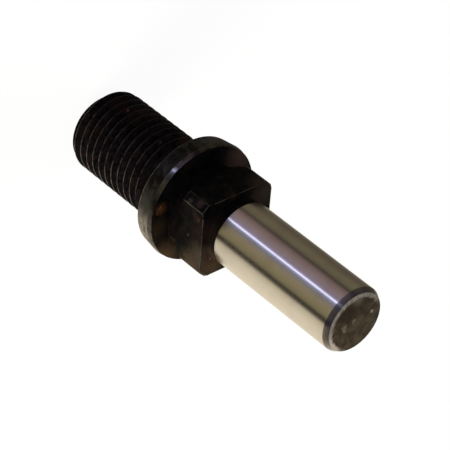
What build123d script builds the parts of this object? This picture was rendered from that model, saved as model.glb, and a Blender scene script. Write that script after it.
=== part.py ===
from build123d import *
import os
from math import ceil, radians, tan

# Shouldered square-neck stud, turned from one bar.
# Millimetres, +Z runs from the threaded end to the ground pin.
# Z = 0 is the flat end face of the thread, and the Z axis is the turning axis.

# ---- threaded shank ----
thread_diameter = 18.0          # M18 x 2, right-hand
thread_pitch = 2.0
thread_angle = 60.0
thread_length = 26.5            # end face to the seating face of the flange
run_out_turn = 342.0            # from +X, where the groove ends in the relief
cutter_clearance = 0.15         # how far the thread cutter stands out of the bar
thread_chamfer = 1.5            # lead-in on the end face, along the axis
thread_chamfer_angle = 27.0
relief_diameter = 15.0          # undercut that the thread runs out into
relief_width = 3.4
relief_slope = 45.0

# ---- flange ----
flange_diameter = 25.8          # at its widest, just behind the front band
flange_seat_diameter = 24.9     # the rim tapers down to the seating side
flange_thickness = 4.9
flange_front_chamfer = 1.1      # shallow band round the front of the rim
flange_front_chamfer_angle = 10.0
flange_edge_break = 0.3         # on the seating side

# ---- square for the spanner ----
across_flats = 17.0
corner_diameter = 22.1          # the turned round that cuts the four corners off
square_length = 10.2            # flange face to front face
groove_diameter = 17.7          # turned behind the square, clear of the corners
groove_width = 4.1              # flange face to the full corner diameter
groove_slope = 45.0
corner_chamfer = 0.45
corner_chamfer_angle = 30.0
square_turn = 45.0              # corner towards +X

# ---- ground pin ----
pin_diameter = 14.0
pin_length = 34.3               # front face of the square to the end of the pin
neck_diameter = 13.6            # wheel relief next to the square
neck_width = 2.0
neck_fillet = 0.55
neck_slope = 45.0
pin_end_chamfer = 1.1
pin_end_chamfer_angle = 30.0

# ---- levels and radii that follow from the sizes above ----
seat_level = thread_length
flange_level = seat_level + flange_thickness
front_level = flange_level + square_length
pin_top = front_level + pin_length
thread_radius = thread_diameter / 2
relief_radius = relief_diameter / 2
flange_radius = flange_diameter / 2
flange_seat_radius = flange_seat_diameter / 2
groove_radius = groove_diameter / 2
corner_radius = corner_diameter / 2
neck_radius = neck_diameter / 2
pin_radius = pin_diameter / 2

# ISO metric external thread: the crest is an eighth of the pitch wide, and the
# depth is 17/24 of the sharp triangle's height
crest_flat = thread_pitch / 8
sharp_height = thread_pitch / 2 / tan(radians(thread_angle / 2))
thread_depth = sharp_height * 17 / 24
run_out_level = seat_level - relief_width / 2


def rise(depth, angle):
    """Length along the axis in which a slope at this angle climbs the depth."""
    return depth / tan(radians(angle))


def shank_outline():
    """Half section of the threaded shank, from the end face to the seat."""
    drop = thread_chamfer * tan(radians(thread_chamfer_angle))
    relief_start = seat_level - relief_width
    slope_start = relief_start - rise(thread_radius - relief_radius, relief_slope)
    return [
        (0, 0),
        (thread_radius - drop, 0),
        (thread_radius, thread_chamfer),
        (thread_radius, slope_start),
        (relief_radius, relief_start),
        (relief_radius, seat_level),
    ]


def flange_outline():
    """Half section of the flange, from its seat to its front face."""
    drop = flange_front_chamfer * tan(radians(flange_front_chamfer_angle))
    return [
        (flange_seat_radius - flange_edge_break, seat_level),
        (flange_seat_radius, seat_level + flange_edge_break),
        (flange_radius, flange_level - flange_front_chamfer),
        (flange_radius - drop, flange_level),
    ]


def square_outline():
    """Half section of the round blank that the square is milled on."""
    groove_end = flange_level + groove_width
    slope_start = groove_end - rise(corner_radius - groove_radius, groove_slope)
    chamfer_length = corner_chamfer * tan(radians(corner_chamfer_angle))
    return [
        (groove_radius, flange_level),
        (groove_radius, slope_start),
        (corner_radius, groove_end),
        (corner_radius, front_level - chamfer_length),
        (corner_radius - corner_chamfer, front_level),
    ]


def pin_outline():
    """Half section of the wheel relief and the ground pin."""
    neck_end = front_level + neck_width
    slope_start = neck_end - rise(pin_radius - neck_radius, neck_slope)
    drop = pin_end_chamfer * tan(radians(pin_end_chamfer_angle))
    return [
        (neck_radius, front_level),
        (neck_radius, slope_start),
        (pin_radius, neck_end),
        (pin_radius, pin_top - pin_end_chamfer),
        (pin_radius - drop, pin_top),
        (0, pin_top),
    ]


def turned_blank():
    """The whole stud as the lathe leaves it, before flats and thread."""
    points = shank_outline() + flange_outline() + square_outline() + pin_outline()
    section = make_face(Plane.XZ * Polyline(*points, close=True))
    neck_corner = section.vertices().sort_by_distance((neck_radius, 0, front_level))[0]
    return revolve(fillet(neck_corner, neck_fillet), Axis.Z)


def square_waste():
    """What the cutter takes off the round blank to leave four flats."""
    middle = Pos(0, 0, (flange_level + front_level) / 2)
    ring = middle * Cylinder(flange_radius, square_length)
    core = Rot(0, 0, square_turn) * Box(across_flats, across_flats, square_length)
    return ring - middle * core


def thread_turn():
    """One turn of the helical groove, the last one, which runs out into the relief."""
    slope = tan(radians(thread_angle / 2))
    half_mouth = (thread_pitch - crest_flat) / 2
    half_root = half_mouth - thread_depth * slope
    half_outside = half_mouth + cutter_clearance * slope
    root = thread_radius - thread_depth
    outside = thread_radius + cutter_clearance
    start = run_out_level - thread_pitch
    profile = make_face(Plane.XZ * Polyline(
        (root, start - half_root),
        (outside, start - half_outside),
        (outside, start + half_outside),
        (root, start + half_root),
        close=True,
    ))
    path = Pos(0, 0, start) * Helix(thread_pitch, thread_pitch, thread_radius)
    return Rot(0, 0, run_out_turn) * sweep(profile, path=path, is_frenet=True)


def thread_groove():
    """The whole groove, turn by turn from the relief to beyond the end face."""
    turn = thread_turn()
    count = ceil((run_out_level + thread_pitch) / thread_pitch)
    return [Pos(0, 0, -index * thread_pitch) * turn for index in range(count)]


def stud():
    """The finished stud: turned, milled square and threaded."""
    return turned_blank() - square_waste() - thread_groove()


os.makedirs("parts", exist_ok=True)
export_step(stud(), "parts/stud.step")
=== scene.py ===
import bpy
import bmesh
import math
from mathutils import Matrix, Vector


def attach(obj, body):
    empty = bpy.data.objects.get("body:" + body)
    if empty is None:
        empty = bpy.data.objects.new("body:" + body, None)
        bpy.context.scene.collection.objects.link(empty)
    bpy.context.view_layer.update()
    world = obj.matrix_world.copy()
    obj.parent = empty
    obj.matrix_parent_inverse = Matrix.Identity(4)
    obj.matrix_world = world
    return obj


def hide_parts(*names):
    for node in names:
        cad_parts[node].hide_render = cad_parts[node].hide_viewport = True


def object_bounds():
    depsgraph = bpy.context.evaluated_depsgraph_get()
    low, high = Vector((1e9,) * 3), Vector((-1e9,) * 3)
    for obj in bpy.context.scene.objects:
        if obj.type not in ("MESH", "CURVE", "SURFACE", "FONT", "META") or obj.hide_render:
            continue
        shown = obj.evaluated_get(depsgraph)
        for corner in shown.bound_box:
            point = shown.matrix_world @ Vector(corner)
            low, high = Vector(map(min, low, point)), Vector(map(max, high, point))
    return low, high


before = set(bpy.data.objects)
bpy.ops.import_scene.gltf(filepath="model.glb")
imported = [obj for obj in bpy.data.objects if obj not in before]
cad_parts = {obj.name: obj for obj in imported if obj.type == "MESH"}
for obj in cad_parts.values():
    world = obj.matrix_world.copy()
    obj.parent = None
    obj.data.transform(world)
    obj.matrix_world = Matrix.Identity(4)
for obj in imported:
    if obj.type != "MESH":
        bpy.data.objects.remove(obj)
cadLow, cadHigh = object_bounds()
mm = 0.001

# The turned bar. Lengths are in millimetres up to the point where a mesh is made.
stud = {
    "around": 144,             # edges round each turned ring
    "threadLength": 26.5,      # end face to the flange seat
    "threadRadius": 9.0,
    "threadChamfer": 1.5,
    "threadChamferDrop": 0.76,
    "reliefRadius": 7.5,
    "reliefWidth": 3.4,
    "reliefRoot": 0.6,
    "flangeThickness": 4.9,
    "flangeRadius": 12.9,      # at its widest, behind the front band
    "flangeSeatRadius": 12.45,
    "flangeBack": 0.3,         # edge break on the seating side
    "flangeBand": 1.1,         # shallow band round the front of the rim
    "flangeBandDrop": 0.194,
    "squareLength": 10.2,
    "acrossFlats": 17.0,
    "cornerRadius": 11.05,
    "grooveRadius": 8.85,
    "grooveWidth": 4.1,
    "grooveRoot": 0.5,
    "cornerBreak": 0.45,
    "cornerBreakLength": 0.26,
    "neckRadius": 6.8,
    "neckWidth": 2.0,
    "neckFillet": 0.55,
    "neckFilletSteps": 5,
    "pinRadius": 7.0,
    "pinChamfer": 1.1,
    "pinChamferDrop": 0.635,
}
endLevel = cadLow.z / mm
topLevel = cadHigh.z / mm
seatLevel = endLevel + stud["threadLength"]
flangeLevel = seatLevel + stud["flangeThickness"]
cornerLevel = flangeLevel + stud["grooveWidth"]
frontLevel = flangeLevel + stud["squareLength"]
groundLevel = frontLevel + stud["neckWidth"]
pinEdgeLevel = topLevel - stud["pinChamfer"]


def clearSelection():
    # nothing stays selected, and edit mode is left
    if bpy.context.mode != "OBJECT":
        bpy.ops.object.mode_set(mode="OBJECT")
    bpy.ops.object.select_all(action="DESELECT")


def pick(piece):
    clearSelection()
    piece.select_set(True)
    bpy.context.view_layer.objects.active = piece


def applyAll(piece):
    pick(piece)
    for modifier in list(piece.modifiers):
        bpy.ops.object.modifier_apply(modifier=modifier.name)


def settle(piece):
    # place, turn and scale go into the mesh
    pick(piece)
    bpy.ops.object.transform_apply(location=True, rotation=True, scale=True)


def turnedRings():
    # radius and height of each ring that the turning tool leaves, from the bottom up
    s = stud
    reliefStart = seatLevel - s["reliefWidth"]
    rings = [
        (s["threadRadius"] - s["threadChamferDrop"], endLevel),
        (s["threadRadius"], endLevel + s["threadChamfer"]),
        (s["threadRadius"], reliefStart - (s["threadRadius"] - s["reliefRadius"])),
        (s["reliefRadius"], reliefStart),
        (s["reliefRadius"], seatLevel - s["reliefRoot"]),
        (s["reliefRadius"] + s["reliefRoot"], seatLevel),
        (s["flangeSeatRadius"] - s["flangeBack"], seatLevel),
        (s["flangeSeatRadius"], seatLevel + s["flangeBack"]),
        (s["flangeRadius"], flangeLevel - s["flangeBand"]),
        (s["flangeRadius"] - s["flangeBandDrop"], flangeLevel),
        (s["grooveRadius"] + s["grooveRoot"], flangeLevel),
        (s["grooveRadius"], flangeLevel + s["grooveRoot"]),
        (s["grooveRadius"], cornerLevel - (s["cornerRadius"] - s["grooveRadius"])),
        (s["cornerRadius"], cornerLevel),
        (s["cornerRadius"], frontLevel - s["cornerBreakLength"]),
        (s["cornerRadius"] - s["cornerBreak"], frontLevel),
    ]
    for step in range(s["neckFilletSteps"] + 1):
        angle = math.radians(90 * step / s["neckFilletSteps"])
        rings.append((
            s["neckRadius"] + s["neckFillet"] * (1 - math.sin(angle)),
            frontLevel + s["neckFillet"] * (1 - math.cos(angle)),
        ))
    rings += [
        (s["neckRadius"], groundLevel - (s["pinRadius"] - s["neckRadius"])),
        (s["pinRadius"], groundLevel),
        (s["pinRadius"], pinEdgeLevel),
        (s["pinRadius"] - s["pinChamferDrop"], topLevel),
    ]
    return rings


def turnBar():
    # a disc is extruded and widened or narrowed ring by ring
    rings = turnedRings()
    radius, height = rings[0]
    clearSelection()
    bpy.ops.mesh.primitive_circle_add(
        vertices=stud["around"], radius=radius * mm, fill_type="NGON",
        location=(0, 0, height * mm))
    bar = bpy.context.object
    bar.name = "turned_stud"
    settle(bar)
    bpy.ops.object.mode_set(mode="EDIT")
    bpy.ops.mesh.select_all(action="SELECT")
    for nextRadius, nextHeight in rings[1:]:
        bpy.ops.mesh.extrude_region_move(
            TRANSFORM_OT_translate={"value": (0, 0, (nextHeight - height) * mm)})
        grow = nextRadius / radius
        bpy.ops.transform.resize(
            value=(grow, grow, 1), center_override=(0, 0, nextHeight * mm))
        radius, height = nextRadius, nextHeight
    bpy.ops.mesh.select_all(action="SELECT")
    bpy.ops.mesh.normals_make_consistent(inside=False)
    clearSelection()
    return bar


def subtract(piece, cutter):
    cut = piece.modifiers.new("cut", "BOOLEAN")
    cut.operation = "DIFFERENCE"
    cut.solver = "EXACT"
    cut.object = cutter
    applyAll(piece)
    bpy.data.objects.remove(cutter)


# The four slabs that mill the flats, in millimetres.
slab = {
    "thickness": 6.0,
    "width": 30,
    "past": 1.0,               # how far they reach past the front of the square
    "turn": 45,                # degrees from +X, which leaves a corner there
}


def millFlats(bar):
    height = stud["squareLength"] + slab["past"]
    reach = stud["acrossFlats"] / 2 + slab["thickness"] / 2
    for quarter in range(4):
        turn = math.radians(slab["turn"] + 90 * quarter)
        clearSelection()
        bpy.ops.mesh.primitive_cube_add(
            size=1,
            location=(
                reach * math.cos(turn) * mm,
                reach * math.sin(turn) * mm,
                (flangeLevel + height / 2) * mm,
            ),
            rotation=(0, 0, turn),
            scale=(slab["thickness"] * mm, slab["width"] * mm, height * mm),
        )
        subtract(bar, bpy.context.object)


# Edges that wear has rounded over.
worn = {
    "round": 0.13,             # how far the edge is rounded, in millimetres
    "segments": 2,
    "profile": 0.6,
    "sharpest": 20,            # degrees, flatter edges stay as they are
    "rimReach": 0.5,           # the rim starts this far inside the seat's edge
    "breakReach": 0.7,         # the inner circle of the corner break stays sharp
    "slack": 0.1,
    "slot": 1,                 # the rounded strips take this material
}


def isWorn(edge):
    # the outer edges of the rim, the square and both ends
    if len(edge.link_faces) != 2:
        return False
    if edge.calc_face_angle_signed(0) <= math.radians(worn["sharpest"]):
        return False
    middle = (edge.verts[0].co + edge.verts[1].co) / 2 / mm
    away = math.hypot(middle.x, middle.y)
    slack = worn["slack"]
    if away > stud["flangeSeatRadius"] - worn["rimReach"]:
        return True
    if middle.z < endLevel + slack or middle.z > pinEdgeLevel - slack:
        return True
    onFront = middle.z > frontLevel - slack / 2
    if onFront and away > stud["cornerRadius"] - worn["breakReach"]:
        return False
    onSquare = cornerLevel - slack < middle.z < frontLevel + slack / 2
    return onSquare and away > stud["acrossFlats"] / 2 - slack


def roundEdges(bar):
    # the narrow strip round each worn edge gets its own material
    bar.data.materials.clear()
    bar.data.materials.append(None)
    bar.data.materials.append(None)
    pick(bar)
    bpy.ops.object.mode_set(mode="EDIT")
    bpy.ops.mesh.select_mode(type="EDGE")
    bpy.ops.mesh.select_all(action="DESELECT")
    mesh = bmesh.from_edit_mesh(bar.data)
    for edge in mesh.edges:
        edge.select_set(isWorn(edge))
    bmesh.update_edit_mesh(bar.data)
    bpy.ops.mesh.bevel(
        offset=worn["round"] * mm, segments=worn["segments"], profile=worn["profile"],
        affect="EDGES", material=worn["slot"], clamp_overlap=False)
    clearSelection()


# The thread, in millimetres.
thread = {
    "pitch": 2.0,
    "depth": 1.227,
    "crestFlat": 0.25,
    "flank": 30,               # degrees from square to the axis
    "standOut": 0.15,          # the cutter stands this far out of the shank
    "turns": 14,
    "steps": 96,               # round each turn
    "runOutTurn": 342.0,       # degrees from +X, where the groove ends
    "weld": 0.002,             # points closer than this become one
}


def threadCutter():
    # a plane takes the shape of the groove's section and is screwed round the axis
    halfMouth = (thread["pitch"] - thread["crestFlat"]) / 2
    flank = math.tan(math.radians(thread["flank"]))
    halfRoot = halfMouth - thread["depth"] * flank
    halfOutside = halfMouth + thread["standOut"] * flank
    root = stud["threadRadius"] - thread["depth"]
    outside = stud["threadRadius"] + thread["standOut"]
    runOut = seatLevel - stud["reliefWidth"] / 2
    start = runOut - thread["turns"] * thread["pitch"]
    clearSelection()
    bpy.ops.mesh.primitive_plane_add(size=1, rotation=(math.radians(90), 0, 0))
    cutter = bpy.context.object
    settle(cutter)
    for corner in cutter.data.vertices:
        inner = corner.co.x < 0
        half = halfRoot if inner else halfOutside
        side = 1 if corner.co.z > 0 else -1
        corner.co = Vector((root if inner else outside, 0, start + side * half)) * mm
    bpy.ops.object.mode_set(mode="EDIT")
    bpy.ops.mesh.select_all(action="SELECT")
    bpy.ops.mesh.delete(type="ONLY_FACE")
    bpy.ops.object.mode_set(mode="OBJECT")
    screw = cutter.modifiers.new("turns", "SCREW")
    screw.axis = "Z"
    screw.angle = 2 * math.pi
    screw.screw_offset = thread["pitch"] * mm
    screw.iterations = thread["turns"]
    screw.steps = thread["steps"]
    screw.render_steps = thread["steps"]
    screw.use_merge_vertices = True
    screw.merge_threshold = thread["weld"] / 2 * mm
    applyAll(cutter)
    closeEnds(cutter)
    cutter.rotation_euler = (0, 0, math.radians(thread["runOutTurn"]))
    settle(cutter)
    return cutter


def closeEnds(cutter):
    bpy.ops.object.mode_set(mode="EDIT")
    bpy.ops.mesh.select_mode(type="EDGE")
    bpy.ops.mesh.select_all(action="SELECT")
    bpy.ops.mesh.fill_holes(sides=8)
    bpy.ops.mesh.select_all(action="SELECT")
    bpy.ops.mesh.normals_make_consistent(inside=False)
    bpy.ops.object.mode_set(mode="OBJECT")


def cutThread(bar):
    subtract(bar, threadCutter())
    pick(bar)
    bpy.ops.object.mode_set(mode="EDIT")
    bpy.ops.mesh.select_all(action="SELECT")
    bpy.ops.mesh.remove_doubles(threshold=thread["weld"] * mm)
    bpy.ops.mesh.normals_make_consistent(inside=False)
    bpy.ops.object.mode_set(mode="OBJECT")


def node(tree, kind, x, y, **settings):
    made = tree.nodes.new(kind)
    made.location = (x, y)
    for name, value in settings.items():
        setattr(made, name, value)
    return made


def wire(tree, source, target):
    tree.links.new(source, target)


def calc(tree, operation, a, b, x, y):
    # a Math node, where a and b are sockets or numbers, and b is None when not needed
    made = node(tree, "ShaderNodeMath", x, y, operation=operation)
    for socket, value in zip(made.inputs, (a, b)):
        if isinstance(value, (int, float)):
            socket.default_value = value
        elif value is not None:
            wire(tree, value, socket)
    return made.outputs[0]


def smooth(tree, value, low, high, x, y):
    # a soft step from 0 at low to 1 at high, where both are sockets or numbers
    made = node(tree, "ShaderNodeMapRange", x, y, interpolation_type="SMOOTHSTEP")
    wire(tree, value, made.inputs["Value"])
    for label, end in (("From Min", low), ("From Max", high)):
        if isinstance(end, (int, float)):
            made.inputs[label].default_value = end
        else:
            wire(tree, end, made.inputs[label])
    return made.outputs["Result"]


def mixColour(tree, mask, under, over, x, y):
    # over covers under where the mask is 1, and each may be a tuple or a socket
    made = node(tree, "ShaderNodeMix", x, y, data_type="RGBA")
    for count, value in ((0, mask), (6, under), (7, over)):
        if isinstance(value, tuple):
            made.inputs[count].default_value = (*value, 1)
        else:
            wire(tree, value, made.inputs[count])
    return made.outputs[2]


def axisPart(tree, point, axis, x, y):
    # one of the three coordinates of a point
    split = node(tree, "ShaderNodeSeparateXYZ", x, y)
    wire(tree, point, split.inputs[0])
    return split.outputs[axis]


def startGroup(name, inputs, outputs):
    # a node group with named inputs and outputs, each input (name, kind, value)
    group = bpy.data.node_groups.new(name, "ShaderNodeTree")
    for label, kind, value in inputs:
        socket = group.interface.new_socket(
            label, in_out="INPUT", socket_type="NodeSocket" + kind)
        if value is not None:
            socket.default_value = value
    for label, kind in outputs:
        group.interface.new_socket(
            label, in_out="OUTPUT", socket_type="NodeSocket" + kind)
    return group, node(group, "NodeGroupInput", -900, 0), node(group, "NodeGroupOutput", 700, 0)


def place(tree, group, x, y, **values):
    # a group in a material, given its own values, and what it puts out
    made = node(tree, "ShaderNodeGroup", x, y, node_tree=group)
    for label, value in values.items():
        if hasattr(value, "node"):
            wire(tree, value, made.inputs[label])
        else:
            made.inputs[label].default_value = value
    return made.outputs[0]


def addNoise(group, point, scale, detail, roughness, x, y):
    noise = node(group, "ShaderNodeTexNoise", x, y)
    wire(group, point, noise.inputs["Vector"])
    wire(group, scale, noise.inputs["Scale"])
    noise.inputs["Detail"].default_value = detail
    noise.inputs["Roughness"].default_value = roughness
    return noise.outputs[0]


def startMaterial(name):
    made = bpy.data.materials.new(name)
    made.use_nodes = True
    tree = made.node_tree
    tree.nodes.clear()
    shader = node(tree, "ShaderNodeBsdfPrincipled", 900, 0)
    output = node(tree, "ShaderNodeOutputMaterial", 1200, 0)
    wire(tree, shader.outputs[0], output.inputs[0])
    coords = node(tree, "ShaderNodeTexCoord", -1600, 0)
    return made, tree, shader, coords.outputs["Object"]


# Sizes inside the groups are in millimetres, and points are in metres.
perMetre = 1 / mm


def blotchGroup():
    # soft irregular patches: 1 inside a patch, 0 outside
    group, given, out = startGroup(
        "blotches",
        [("Point", "Vector", None), ("Size", "Float", 3.0), ("Share", "Float", 0.4),
         ("Edge", "Float", 0.06)],
        [("Mask", "Float")])
    share, edge = given.outputs["Share"], given.outputs["Edge"]
    scale = calc(group, "DIVIDE", perMetre, given.outputs["Size"], -700, -100)
    noise = addNoise(group, given.outputs["Point"], scale, 6, 0.62, -500, 0)
    level = calc(group, "SUBTRACT", 1.0, share, -500, -250)
    low = calc(group, "SUBTRACT", level, edge, -300, -200)
    high = calc(group, "ADD", level, edge, -300, -350)
    wire(group, smooth(group, noise, low, high, 0, 0), out.inputs["Mask"])
    return group


def grainGroup():
    # fine pitting for the oxide and fine grinding lines for the bare steel
    group, given, out = startGroup(
        "grain",
        [("Point", "Vector", None), ("Fine", "Float", 0.25), ("Stretch", "Vector", (1, 1, 1))],
        [("Height", "Float")])
    stretched = node(group, "ShaderNodeVectorMath", -600, 0, operation="MULTIPLY")
    wire(group, given.outputs["Point"], stretched.inputs[0])
    wire(group, given.outputs["Stretch"], stretched.inputs[1])
    scale = calc(group, "DIVIDE", perMetre, given.outputs["Fine"], -600, -200)
    noise = addNoise(group, stretched.outputs[0], scale, 3, 0.5, -300, 0)
    wire(group, noise, out.inputs["Height"])
    return group


def spotGroup():
    # one ragged spot round a centre: 1 in the middle, 0 outside
    group, given, out = startGroup(
        "spot",
        [("Point", "Vector", None), ("Centre", "Vector", (0, 0, 0)), ("Radius", "Float", 1.0),
         ("Ragged", "Float", 0.45), ("Grain", "Float", 0.9), ("Soft", "Float", 0.5)],
        [("Mask", "Float")])
    away = node(group, "ShaderNodeVectorMath", -600, 0, operation="DISTANCE")
    wire(group, given.outputs["Point"], away.inputs[0])
    wire(group, given.outputs["Centre"], away.inputs[1])
    reach = calc(group, "MULTIPLY", given.outputs["Radius"], mm, -600, -200)
    share = calc(group, "DIVIDE", away.outputs["Value"], reach, -400, 0)
    scale = calc(group, "DIVIDE", perMetre, given.outputs["Grain"], -600, -400)
    noise = addNoise(group, given.outputs["Point"], scale, 4, 0.6, -400, -300)
    centred = calc(group, "SUBTRACT", noise, 0.5, -200, -300)
    ragged = calc(group, "MULTIPLY", given.outputs["Ragged"], 4.0, -200, -450)
    swing = calc(group, "MULTIPLY", centred, ragged, 0, -300)
    edge = calc(group, "ADD", share, swing, 150, 0)
    middle = 0.75
    outer = calc(group, "ADD", given.outputs["Soft"], middle, 300, -150)
    inner = calc(group, "SUBTRACT", middle, given.outputs["Soft"], 300, -300)
    wire(group, smooth(group, edge, outer, inner, 450, 0), out.inputs["Mask"])
    return group


def axisGroup():
    # distance from the turning axis
    group, given, out = startGroup(
        "from_axis", [("Point", "Vector", None)], [("Radius", "Float")])
    split = node(group, "ShaderNodeSeparateXYZ", -600, 0)
    wire(group, given.outputs["Point"], split.inputs[0])
    squareX = calc(group, "MULTIPLY", split.outputs[0], split.outputs[0], -400, 100)
    squareY = calc(group, "MULTIPLY", split.outputs[1], split.outputs[1], -400, -100)
    total = calc(group, "ADD", squareX, squareY, -200, 0)
    wire(group, calc(group, "SQRT", total, None, 0, 0), out.inputs["Radius"])
    return group


blotches = blotchGroup()
grain = grainGroup()
spot = spotGroup()
fromAxis = axisGroup()
print("shader groups made")


# How ragged and how soft the edges of single spots are. Radii are in millimetres.
fleckEdge = {
    "smallUnder": 1,           # spots under this radius are crisp
    "ragged": 0.5,
    "softSmall": 0.3,
    "soft": 0.75,
}


def fleck(tree, point, colour, flecks, y):
    # listed spots, each (centre in mm, radius in mm, colour, strength)
    for count, (centre, radius, over, strength) in enumerate(flecks):
        small = radius < fleckEdge["smallUnder"]
        mask = place(
            tree, spot, -300 + 40 * count, y - 60 * count, Point=point,
            Centre=tuple(value * mm for value in centre), Radius=radius,
            Ragged=fleckEdge["ragged"] if small else fleckEdge["ragged"] / radius,
            Soft=fleckEdge["softSmall"] if small else fleckEdge["soft"])
        share = calc(tree, "MULTIPLY", mask, strength, 0, y - 60 * count)
        colour = mixColour(tree, share, colour, over, 200 + 40 * count, y)
    return colour


def turnMarks(tree, shader, strength):
    # fine lines round the axis spread a reflection along it
    shader.inputs["Anisotropic"].default_value = strength
    shader.inputs["Anisotropic Rotation"].default_value = 0.25
    tangent = node(tree, "ShaderNodeTangent", 500, -500, direction_type="RADIAL", axis="Z")
    wire(tree, tangent.outputs[0], shader.inputs["Tangent"])


def relief(tree, shader, height, roughness, skin):
    # one pattern varies the roughness round its middle value and gives the bumps
    rough = calc(tree, "MULTIPLY_ADD", height, skin["swing"], -400, -200)
    rough.node.inputs[2].default_value = roughness - skin["swing"] / 2
    wire(tree, rough, shader.inputs["Roughness"])
    bump = node(tree, "ShaderNodeBump", 500, -300)
    bump.inputs["Strength"].default_value = skin["bump"]
    bump.inputs["Distance"].default_value = skin["depth"] * mm
    wire(tree, height, bump.inputs["Height"])
    wire(tree, bump.outputs[0], shader.inputs["Normal"])


rustTone = (0.15, 0.050, 0.018)
pinkTone = (0.20, 0.060, 0.065)
brownTone = (0.030, 0.019, 0.011)

# Oxidised surfaces. Flecks are single spots: (centre, radius, colour, strength); some are
# painted light or shade, as marked.
oxides = {
    "oxide_thread": {
        "dark": (0.0044, 0.0033, 0.0042),
        "grey": (0.0160, 0.0125, 0.0145),
        "brown": (0.024, 0.012, 0.009),
        "rust": pinkTone,
        "toneSize": 0.9, "brownShare": 0.42, "rustShare": 0.30,
        "gloss": 0.10, "roughness": 0.42, "turned": 0,
        "flecks": [
            ((-5.75, -6.40, 7.6), 0.42, pinkTone, 0.9),
            ((-4.41, -7.39, 3.2), 0.30, pinkTone, 0.7),
            ((-2.24, -8.30, 5.4), 0.34, pinkTone, 0.7),
            ((-4.74, -7.18, 19.7), 0.40, pinkTone, 0.8),
            ((-6.40, -5.60, 14.0), 0.35, rustTone, 0.5),
            ((2.60, -8.10, 12.4), 0.32, pinkTone, 0.4),
            ((-7.60, -4.00, 22.0), 1.6, (0.045, 0.017, 0.014), 0.7),
            ((-7.30, -4.60, 9.0), 2.0, (0.035, 0.016, 0.015), 0.6),
        ],
    },
    "oxide_body": {
        "dark": (0.0028, 0.0026, 0.0033),
        "grey": (0.0080, 0.0068, 0.0062),
        "brown": brownTone,
        "rust": rustTone,
        "toneSize": 1.6, "brownShare": 0.37, "rustShare": 0.22,
        "gloss": 0.022, "roughness": 0.40, "turned": 0,
        "flecks": [
            # front face of the flange: a rust blob, and lighter brown towards the +X and -X
            # edges, which is painted light
            ((5.44, -9.58, 31.4), 1.4, (0.080, 0.034, 0.014), 0.9),
            ((5.10, -9.90, 31.4), 0.50, (0.16, 0.062, 0.020), 0.9),
            ((6.60, -9.50, 31.4), 0.35, rustTone, 0.7),
            ((9.20, -6.80, 31.4), 2.8, (0.034, 0.024, 0.014), 0.8),
            ((13.8, 0.20, 31.4), 4.2, (0.130, 0.082, 0.042), 0.9),
            ((-12.6, 1.40, 31.4), 4.4, (0.090, 0.056, 0.044), 0.9),
            # front face and flats of the square
            # painted light: lighter brown on the +X and -X sides of the front face
            ((8.60, 0.40, 41.6), 4.2, (0.098, 0.064, 0.036), 0.9),
            ((-9.20, 0.60, 41.6), 3.8, (0.070, 0.049, 0.036), 0.85),
            ((3.80, -7.20, 41.6), 2.8, (0.022, 0.013, 0.011), 0.8),
            # painted light: lighter brown on the +X flat and the corner below it
            ((8.20, -3.70, 41.2), 2.8, (0.075, 0.056, 0.040), 0.9),
            ((10.4, -1.20, 38.6), 2.8, (0.090, 0.064, 0.041), 0.9),
            ((2.38, -9.64, 39.75), 1.1, (0.046, 0.022, 0.014), 0.5),
            ((6.60, -1.20, 41.6), 0.35, (0.16, 0.10, 0.08), 0.8),
            ((4.60, -3.90, 41.6), 0.30, (0.10, 0.06, 0.07), 0.7),
            ((6.18, -5.84, 37.55), 0.38, (0.068, 0.058, 0.052), 0.6),
            ((2.61, -9.41, 40.26), 0.40, (0.075, 0.040, 0.034), 0.5),
            # painted highlight: a bluish spot on the near corner
            ((0.60, -11.0, 37.0), 0.8, (0.040, 0.035, 0.043), 0.8),
            ((-0.60, -11.0, 39.4), 1.2, (0.044, 0.030, 0.029), 0.8),
            ((-4.00, -8.64, 41.6), 0.30, (0.12, 0.09, 0.12), 0.9),
            ((7.05, -2.63, 41.60), 1.30, (0.060, 0.026, 0.020), 0.7),
            ((7.85, -0.66, 41.60), 1.20, (0.075, 0.034, 0.022), 0.7),
            ((7.46, -1.04, 41.60), 0.25, (0.30, 0.22, 0.24), 0.9),
        ],
    },
    "oxide_rim": {
        "dark": (0.0030, 0.0028, 0.0034),
        "grey": (0.0300, 0.0310, 0.0250),
        "brown": (0.060, 0.042, 0.026),
        "rust": rustTone,
        "toneSize": 1.2, "brownShare": 0.42, "rustShare": 0.20,
        "gloss": 0.07, "roughness": 0.38, "turned": 0.9,
        "flecks": [
            # painted shade: a dark spot in the middle of the near rim
            ((-3.90, -12.1, 28.0), 4.0, (0.005, 0.005, 0.006), 0.6),
            ((-11.3, -5.80, 29.0), 3.2, (0.060, 0.056, 0.050), 0.7),
            ((5.80, -11.3, 28.6), 2.6, (0.052, 0.050, 0.038), 0.7),
        ],
        "pits": [
            ((10.37, -7.50, 29.12), 0.42, (0.006, 0.004, 0.003), 0.9),
            ((10.90, -6.71, 29.07), 0.50, (0.006, 0.004, 0.003), 0.9),
            ((11.37, -5.88, 29.03), 0.34, (0.006, 0.004, 0.003), 0.9),
        ],
    },
}
# What they have in common. Sizes are in millimetres.
oxidePatches = {
    "tone": {"Share": 0.46, "Edge": 0.14},
    "brown": {"Size": 4.0, "Edge": 0.08},
    "rust": {"Size": 1.3, "Edge": 0.03},
    "strength": 0.6,           # of the brown and rusty patches
}
oxideSkin = {"pits": 0.5, "swing": 0.24, "bump": 0.35, "depth": 0.05}

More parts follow.
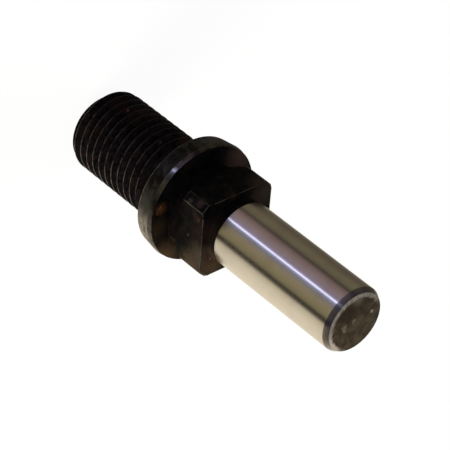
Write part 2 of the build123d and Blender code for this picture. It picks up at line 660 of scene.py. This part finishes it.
# Bare steel in patches, more and more towards +X. On the thread crests it is wear, and its rise
# towards +X is painted sheen; on the rim the brighter +X side is painted sheen, where the light
# falls. Lengths are in millimetres.
crestWearAndSheen = {
    "steel": (0.118, 0.110, 0.106),
    "patch": {"Size": 1.3, "Share": 0.48, "Edge": 0.12},
    "startX": -5.5,
    "fullX": 6.5,
    "depth": 0.07,             # how far down from the crest it starts
    "fullDepth": 0.01,
}
# painted sheen: bare steel on the rim, brighter towards +X, where the light falls
rimPaintedSheen = {
    "steel": (0.27, 0.25, 0.225),
    "patch": {"Size": 1.4, "Share": 0.62, "Edge": 0.16},
    "startX": 6.6,
    "fullX": 10.0,
    "least": 0.35,             # between the patches
}


def wearAndSheenPattern(tree, point, wear):
    broken = place(tree, blotches, -1200, -800, Point=point, **wear["patch"])
    along = axisPart(tree, point, 0, -1200, -1000)
    # the rise towards +X is painted sheen, on the side where the light falls
    side = smooth(tree, along, wear["startX"] * mm, wear["fullX"] * mm, -900, -1000)
    return broken, side


def crestWearAndSheenMask(tree, point):
    broken, side = wearAndSheenPattern(tree, point, crestWearAndSheen)
    radius = place(tree, fromAxis, -1200, -600, Point=point)
    low = (stud["threadRadius"] - crestWearAndSheen["depth"]) * mm
    high = (stud["threadRadius"] - crestWearAndSheen["fullDepth"]) * mm
    crest = smooth(tree, radius, low, high, -900, -600)
    crest = calc(tree, "MULTIPLY", crest, broken, -500, -600)
    return calc(tree, "MULTIPLY", crest, side, -300, -700)


def rimPaintedSheenMask(tree, point):
    broken, side = wearAndSheenPattern(tree, point, rimPaintedSheen)
    broken = calc(tree, "MAXIMUM", broken, rimPaintedSheen["least"], -500, -700)
    return calc(tree, "MULTIPLY", side, broken, -300, -700)


def layBareSteelAndSheen(tree, shader, colour, mask, steel):
    wire(tree, mask, shader.inputs["Metallic"])
    return mixColour(tree, mask, colour, steel, 500, 300)


def oxideMaterial(name, look):
    made, tree, shader, point = startMaterial(name)
    tone = place(tree, blotches, -1200, 300, Point=point, Size=look["toneSize"],
                 **oxidePatches["tone"])
    brown = place(tree, blotches, -1200, 100, Point=point, Share=look["brownShare"],
                  **oxidePatches["brown"])
    rust = place(tree, blotches, -1200, -100, Point=point, Share=look["rustShare"],
                 **oxidePatches["rust"])
    pits = place(tree, grain, -1200, -300, Point=point, Fine=oxideSkin["pits"])
    brown = calc(tree, "MULTIPLY", brown, oxidePatches["strength"], -900, 50)
    rust = calc(tree, "MULTIPLY", rust, oxidePatches["strength"], -900, -50)
    colour = mixColour(tree, tone, look["dark"], look["grey"], -800, 300)
    colour = mixColour(tree, brown, colour, look["brown"], -600, 300)
    colour = mixColour(tree, rust, colour, look["rust"], -400, 300)
    colour = fleck(tree, point, colour, look["flecks"], 900)
    if name == "oxide_thread":
        # bare crests are wear; their rise towards +X is painted sheen
        colour = layBareSteelAndSheen(tree, shader, colour, crestWearAndSheenMask(tree, point), crestWearAndSheen["steel"])
    if name == "oxide_rim":
        # painted sheen on the rim's +X side
        colour = layBareSteelAndSheen(tree, shader, colour, rimPaintedSheenMask(tree, point), rimPaintedSheen["steel"])
        colour = fleck(tree, point, colour, look["pits"], 2400)
    wire(tree, colour, shader.inputs["Base Color"])
    shader.inputs["Specular IOR Level"].default_value = look["gloss"]
    if look["turned"]:
        turnMarks(tree, shader, look["turned"])
    relief(tree, shader, pits, look["roughness"], oxideSkin)
    return made


# Rubbed places, where steel shows through the oxide.
rubbed = {
    "worn_edge": {
        "bare": (0.150, 0.143, 0.138),
        "dark": (0.016, 0.014, 0.014),
        "roughness": 0.36, "turned": 0,
        "flecks": [
            ((-3.20, -9.40, 41.6), 1.8, (0.26, 0.25, 0.24), 0.8),
            ((-8.20, -4.40, 41.6), 2.2, (0.20, 0.18, 0.165), 0.8),
        ],
    },
    "front_band": {
        "bare": (0.125, 0.125, 0.130),
        "dark": (0.050, 0.048, 0.050),
        "roughness": 0.28, "turned": 1,
        "flecks": [
            # painted highlight: a bright spot where the strip lamp's highlight falls on the
            # band
            ((-2.50, -12.6, 30.85), 0.7, (0.32, 0.32, 0.34), 0.95),
            ((7.60, -10.2, 30.85), 3.0, (0.060, 0.057, 0.048), 0.8),
        ],
    },
    "end_chamfer": {
        "bare": (0.46, 0.445, 0.48),
        "dark": (0.34, 0.33, 0.33),
        "roughness": 0.24, "turned": 1,
        "flecks": [
            ((5.60, -3.60, 75.4), 3.6, (0.145, 0.135, 0.115), 0.9),
            ((-5.70, -2.90, 75.4), 3.2, (0.25, 0.24, 0.245), 0.9),
        ],
    },
}
rubbedPatch = {"Size": 1.8, "Share": 0.52, "Edge": 0.16}


def rubbedMaterial(name, look):
    made, tree, shader, point = startMaterial(name)
    patch = place(tree, blotches, -900, 200, Point=point, **rubbedPatch)
    colour = mixColour(tree, patch, look["dark"], look["bare"], -300, 200)
    colour = fleck(tree, point, colour, look["flecks"], 900)
    wire(tree, colour, shader.inputs["Base Color"])
    shader.inputs["Metallic"].default_value = 1
    shader.inputs["Roughness"].default_value = look["roughness"]
    if look["turned"]:
        turnMarks(tree, shader, look["turned"])
    return made


groundSteel = {
    "colour": (0.66, 0.64, 0.61),
    "shade": (0.60, 0.57, 0.54),
    "stain": {"Size": 4.0, "Share": 0.45, "Edge": 0.2},
    "lines": {"Fine": 0.9, "Stretch": (0.6, 0.6, 14)},
    "roughness": 0.20,
    "turned": 1,
    "swing": 0.05,
    "bump": 0.06,
    "depth": 0.01,
}


def steelMaterial():
    made, tree, shader, point = startMaterial("ground_steel")
    lines = place(tree, grain, -900, -200, Point=point, **groundSteel["lines"])
    stain = place(tree, blotches, -900, 200, Point=point, **groundSteel["stain"])
    colour = mixColour(tree, stain, groundSteel["colour"], groundSteel["shade"], -300, 200)
    wire(tree, colour, shader.inputs["Base Color"])
    shader.inputs["Metallic"].default_value = 1
    turnMarks(tree, shader, groundSteel["turned"])
    relief(tree, shader, lines, groundSteel["roughness"], groundSteel)
    return made


# The dull end face of the pin, with a bare ragged ring round its near side; the ring's cream +X
# side is painted light, where the light falls.
pinEnd = {
    "dark": (0.050, 0.0345, 0.0195),
    "light": (0.125, 0.0925, 0.056),
    "tone": {"Size": 1.5, "Share": 0.5, "Edge": 0.2},
    "bare": (0.46, 0.42, 0.36),
    "rubbed": (0.25, 0.226, 0.19),
    "patch": {"Size": 0.8, "Share": 0.52, "Edge": 0.2},
    "ringStart": 5.33,         # radius where the ring fades in
    "ringFull": 5.98,
    "ringShift": (0.10, 0.28, 0),
    "ragged": 1.1,             # how far its edge wanders
    "raggedSize": 0.9,
    "farY": 3.6,               # the ring is gone from here on
    "nearY": 0.4,
    "gloss": 0.2,
    "pits": 0.4,
    "roughness": 0.5,
    "swing": 0.2,
    "bump": 0.4,
    "depth": 0.06,
    "flecks": [
        ((-0.90, -2.85, 75.9), 2.8, (0.034, 0.024, 0.015), 0.8),
        ((-3.90, -3.50, 75.9), 1.4, (0.22, 0.18, 0.135), 0.7),
        ((2.00, -1.60, 75.9), 0.9, (0.22, 0.175, 0.125), 0.9),
        ((2.50, -1.00, 75.9), 0.45, (0.30, 0.25, 0.19), 0.8),
        ((-0.18, -0.49, 75.9), 0.5, (0.26, 0.22, 0.16), 0.9),
        ((0.45, -0.10, 75.9), 0.4, (0.22, 0.18, 0.14), 0.8),
        ((-3.46, 2.62, 75.9), 0.45, (0.50, 0.45, 0.38), 0.95),
    ],
    # painted light: the ring turns cream on its +X side, where the light falls
    "paintedLitSide": [((6.60, -0.80, 75.9), 3.2, (0.86, 0.77, 0.64), 1.0)],
}


def ringMask(tree, point):
    shifted = node(tree, "ShaderNodeVectorMath", -1400, -500, operation="SUBTRACT")
    wire(tree, point, shifted.inputs[0])
    shifted.inputs[1].default_value = [value * mm for value in pinEnd["ringShift"]]
    radius = place(tree, fromAxis, -1200, -500, Point=shifted.outputs[0])
    ragged = place(tree, grain, -1200, -700, Point=point, Fine=pinEnd["raggedSize"])
    swing = calc(tree, "SUBTRACT", ragged, 0.5, -900, -700)
    swing = calc(tree, "MULTIPLY", swing, pinEnd["ragged"] * mm, -700, -700)
    edge = calc(tree, "ADD", radius, swing, -500, -500)
    ring = smooth(tree, edge, pinEnd["ringStart"] * mm, pinEnd["ringFull"] * mm, -300, -500)
    across = axisPart(tree, point, 1, -1200, -900)
    near = smooth(tree, across, pinEnd["farY"] * mm, pinEnd["nearY"] * mm, -500, -900)
    return calc(tree, "MULTIPLY", ring, near, -100, -600)


def pinEndMaterial():
    made, tree, shader, point = startMaterial("pin_end")
    tone = place(tree, blotches, -1200, 300, Point=point, **pinEnd["tone"])
    colour = mixColour(tree, tone, pinEnd["dark"], pinEnd["light"], -800, 300)
    colour = fleck(tree, point, colour, pinEnd["flecks"], 900)
    patch = place(tree, blotches, -1200, 600, Point=point, **pinEnd["patch"])
    bare = mixColour(tree, patch, pinEnd["rubbed"], pinEnd["bare"], -800, 1500)
    # painted light on the ring's +X side
    bare = fleck(tree, point, bare, pinEnd["paintedLitSide"], 1800)
    colour = mixColour(tree, ringMask(tree, point), colour, bare, 500, 300)
    wire(tree, colour, shader.inputs["Base Color"])
    shader.inputs["Specular IOR Level"].default_value = pinEnd["gloss"]
    pits = place(tree, grain, -1200, -300, Point=point, Fine=pinEnd["pits"])
    relief(tree, shader, pits, pinEnd["roughness"], pinEnd)
    return made


# Where the finishes meet, measured from the levels of the stud in millimetres.
seams = {
    "seat": 0.5,               # the finish of the thread ends this far below the seat
    "face": 0.02,
    "groundFoot": 0.12,        # the ground steel starts this far below the pin's full width
    "groundTop": 0.04,         # and ends this far below the chamfer
    "smoothUnder": 28,         # degrees, flatter edges are shaded smooth
}


def finishAt(level, upright):
    if level < seatLevel - seams["seat"]:
        return "oxide_thread"
    if level < flangeLevel - seams["face"]:
        onBand = upright and level > flangeLevel - stud["flangeBand"]
        return "front_band" if onBand else "oxide_rim"
    foot, top = groundLevel - seams["groundFoot"], pinEdgeLevel - seams["groundTop"]
    if foot < level < top and upright:
        return "ground_steel"
    if level > topLevel - seams["face"]:
        return "pin_end"
    return "end_chamfer" if level > pinEdgeLevel else "oxide_body"


def dress(bar):
    # each face takes its finish from where it lies, apart from the worn strips
    finishes = {name: oxideMaterial(name, look) for name, look in oxides.items()}
    finishes.update({name: rubbedMaterial(name, look) for name, look in rubbed.items()})
    finishes["ground_steel"] = steelMaterial()
    finishes["pin_end"] = pinEndMaterial()
    names = ["oxide_body", "worn_edge", "oxide_thread", "oxide_rim", "front_band",
             "ground_steel", "end_chamfer", "pin_end"]
    while len(bar.data.materials) < len(names):
        bar.data.materials.append(None)
    for slot, name in enumerate(names):
        bar.data.materials[slot] = finishes[name]
    for face in bar.data.polygons:
        level = face.center.z / mm
        if face.material_index == worn["slot"] and level < groundLevel:
            continue
        upright = abs(face.normal.z) < 0.5
        face.material_index = names.index(finishAt(level, upright))
    pick(bar)
    bpy.ops.object.shade_smooth_by_angle(angle=math.radians(seams["smoothUnder"]))


bar = turnBar()
print("bar turned:", len(bar.data.vertices), "vertices")
millFlats(bar)
print("flats milled:", len(bar.data.vertices), "vertices")
roundEdges(bar)
print("edges rounded:", len(bar.data.vertices), "vertices")
cutThread(bar)
print("thread cut:", len(bar.data.vertices), "vertices")
dress(bar)
print("stud dressed:", len(bar.data.materials), "finishes")
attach(bar, "root")
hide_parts("stud")


# The pale floor, in metres, which glows a little to the camera and keeps the shadow.
floorLook = {
    "size": 3.0,
    "colour": (0.9, 0.9, 0.9),
    "roughness": 0.9,
    "gloss": 0.1,
    "glow": 1.1,
    "glowShare": 0.85,
}


def layFloor():
    clearSelection()
    bpy.ops.mesh.primitive_plane_add(size=floorLook["size"], location=(0, 0, endLevel * mm))
    floor = bpy.context.object
    floor.name = "floor"
    made, tree, shader = startMaterial("pale_floor")[:3]
    shader.inputs["Base Color"].default_value = (*floorLook["colour"], 1)
    shader.inputs["Roughness"].default_value = floorLook["roughness"]
    shader.inputs["Specular IOR Level"].default_value = floorLook["gloss"]
    plain = node(tree, "ShaderNodeEmission", 900, 300)
    plain.inputs["Strength"].default_value = floorLook["glow"]
    path = node(tree, "ShaderNodeLightPath", 900, 600)
    seen = path.outputs["Is Camera Ray"]
    share = calc(tree, "MULTIPLY", seen, floorLook["glowShare"], 1100, 500)
    mix = node(tree, "ShaderNodeMixShader", 1100, 200)
    wire(tree, share, mix.inputs[0])
    wire(tree, shader.outputs[0], mix.inputs[1])
    wire(tree, plain.outputs[0], mix.inputs[2])
    wire(tree, mix.outputs[0], tree.nodes["Material Output"].inputs[0])
    floor.data.materials.append(made)
    floor.visible_glossy = False


# The light tent: the level of the soft light from all round, what polished metal sees
# above it, and the upward slope from which that is all it sees.
tent = {
    "fill": (0.12, 0.12, 0.12),
    "above": (0.06, 0.055, 0.07),
    "aboveFrom": 0.45,
    "white": (1.0, 1.0, 1.0),
}
# Soft panels round the stud, as seen in polished metal: (degrees from -Y, colour).
# Minus is towards +X, plus towards -X.
panels = [
    (-180, (1.06, 0.95, 0.74)),
    (-122, (1.04, 0.92, 0.71)),
    (-91, (0.95, 0.85, 0.66)),
    (-78, (0.85, 0.76, 0.57)),
    (-66, (0.70, 0.62, 0.45)),
    (-61, (0.56, 0.49, 0.36)),
    (-56, (0.05, 0.042, 0.032)),
    (-45, (0.05, 0.042, 0.032)),
    (-39, (0.24, 0.21, 0.12)),
    (-31, (0.29, 0.25, 0.137)),
    (-12, (0.345, 0.28, 0.18)),
    (-3, (0.30, 0.27, 0.235)),
    (4, (0.27, 0.26, 0.30)),
    (10, (0.36, 0.37, 0.54)),
    (13, (0.70, 0.72, 1.15)),
    (14.5, (1.70, 1.72, 2.30)),
    (17, (1.70, 1.72, 2.30)),
    (19, (0.44, 0.41, 0.64)),
    (25, (0.34, 0.28, 0.37)),
    (30, (0.34, 0.27, 0.33)),
    (39, (0.32, 0.245, 0.26)),
    (49, (0.28, 0.20, 0.19)),
    (59, (0.22, 0.155, 0.145)),
    (65, (0.08, 0.062, 0.052)),
    (71, (0.08, 0.066, 0.052)),
    (76, (0.16, 0.14, 0.09)),
    (95, (0.19, 0.165, 0.10)),
    (123, (0.125, 0.10, 0.07)),
    (150, (0.14, 0.12, 0.09)),
    (168, (0.60, 0.54, 0.42)),
    (180, (1.06, 0.95, 0.74)),
]


def panelStrip(tree, along):
    # the panels as stops of a ramp, from -180 to 180 degrees
    ramp = node(tree, "ShaderNodeValToRGB", -500, 0)
    strip = ramp.color_ramp
    while len(strip.elements) > 1:
        strip.elements.remove(strip.elements[-1])
    for count, (degrees, colour) in enumerate(panels):
        position = min(1, max(0, (degrees + 180) / 360))
        stop = strip.elements[0] if count == 0 else strip.elements.new(position)
        stop.position = position
        stop.color = (*colour, 1)
    wire(tree, along, ramp.inputs[0])
    return ramp.outputs[0]


def buildTent():
    # white to the camera, soft panels in polished metal, plain light elsewhere
    world = bpy.data.worlds.new("light_tent")
    bpy.context.scene.world = world
    world.use_nodes = True
    tree = world.node_tree
    tree.nodes.clear()
    coords = node(tree, "ShaderNodeTexCoord", -1500, 0)
    split = node(tree, "ShaderNodeSeparateXYZ", -1300, 0)
    wire(tree, coords.outputs["Generated"], split.inputs[0])
    away = calc(tree, "MULTIPLY", split.outputs[1], -1.0, -1100, -100)
    side = calc(tree, "MULTIPLY", split.outputs[0], -1.0, -1100, 50)
    turn = calc(tree, "ARCTAN2", side, away, -900, 0)
    share = node(tree, "ShaderNodeMapRange", -700, 0)
    wire(tree, turn, share.inputs["Value"])
    share.inputs["From Min"].default_value = -math.pi
    share.inputs["From Max"].default_value = math.pi
    strip = panelStrip(tree, share.outputs[0])
    upward = smooth(tree, split.outputs[2], 0.0, tent["aboveFrom"], -700, -300)
    mirrored = mixColour(tree, upward, strip, tent["above"], -200, 0)
    path = node(tree, "ShaderNodeLightPath", -500, 500)
    seen = mixColour(tree, path.outputs["Is Glossy Ray"], tent["fill"], mirrored, 100, 100)
    seen = mixColour(tree, path.outputs["Is Camera Ray"], seen, tent["white"], 300, 100)
    background = node(tree, "ShaderNodeBackground", 500, 0)
    wire(tree, seen, background.inputs[0])
    output = node(tree, "ShaderNodeOutputWorld", 700, 0)
    wire(tree, background.outputs[0], output.inputs[0])
    world.cycles.sampling_method = "NONE"


# Soft boxes: name, where it stands (mm), its size (mm), its power (watts) and colour.
lamps = [
    ("warm_box", (420, -60, 230), 300, 1.4, (1.0, 0.94, 0.84)),
    ("back_box", (-160, 330, 330), 260, 0.5, (0.95, 0.97, 1.0)),
    ("front_box", (-60, -420, 160), 260, 0.3, (1.0, 0.98, 0.97)),
]
aimAt = Vector((0, 0, 38))


def hangLamps():
    for name, stand, size, power, tint in lamps:
        data = bpy.data.lights.new(name, "AREA")
        data.shape = "DISK"
        data.size = size * mm
        data.energy = power
        data.color = tint
        lamp = bpy.data.objects.new(name, data)
        bpy.context.scene.collection.objects.link(lamp)
        lamp.location = Vector(stand) * mm
        lamp.rotation_euler = (aimAt - Vector(stand)).to_track_quat("-Z", "Y").to_euler()
        lamp.visible_glossy = False


shot = {
    "place": (-18.83, -357.18, 301.07),    # millimetres
    "look": (0.625, -0.037, 38.956),
    "roll": 128.017,                       # degrees, the pin then points down to the right
    "lens": 183.34,
    "sensor": 36.0,
    "near": 0.01,                          # metres
    "far": 20,
}


def setCamera():
    data = bpy.data.cameras.new("camera")
    data.lens = shot["lens"]
    data.sensor_width = shot["sensor"]
    data.clip_start = shot["near"]
    data.clip_end = shot["far"]
    camera = bpy.data.objects.new("camera", data)
    bpy.context.scene.collection.objects.link(camera)
    stand, look = Vector(shot["place"]) * mm, Vector(shot["look"]) * mm
    camera.location = stand
    camera.rotation_euler = (look - stand).to_track_quat("-Z", "Y").to_matrix().to_euler()
    camera.rotation_euler.rotate_axis("Z", math.radians(shot["roll"]))
    bpy.context.scene.camera = camera


layFloor()
buildTent()
hangLamps()
setCamera()
bpy.context.scene.view_settings.view_transform = "Standard"
print("floor, light and camera set")
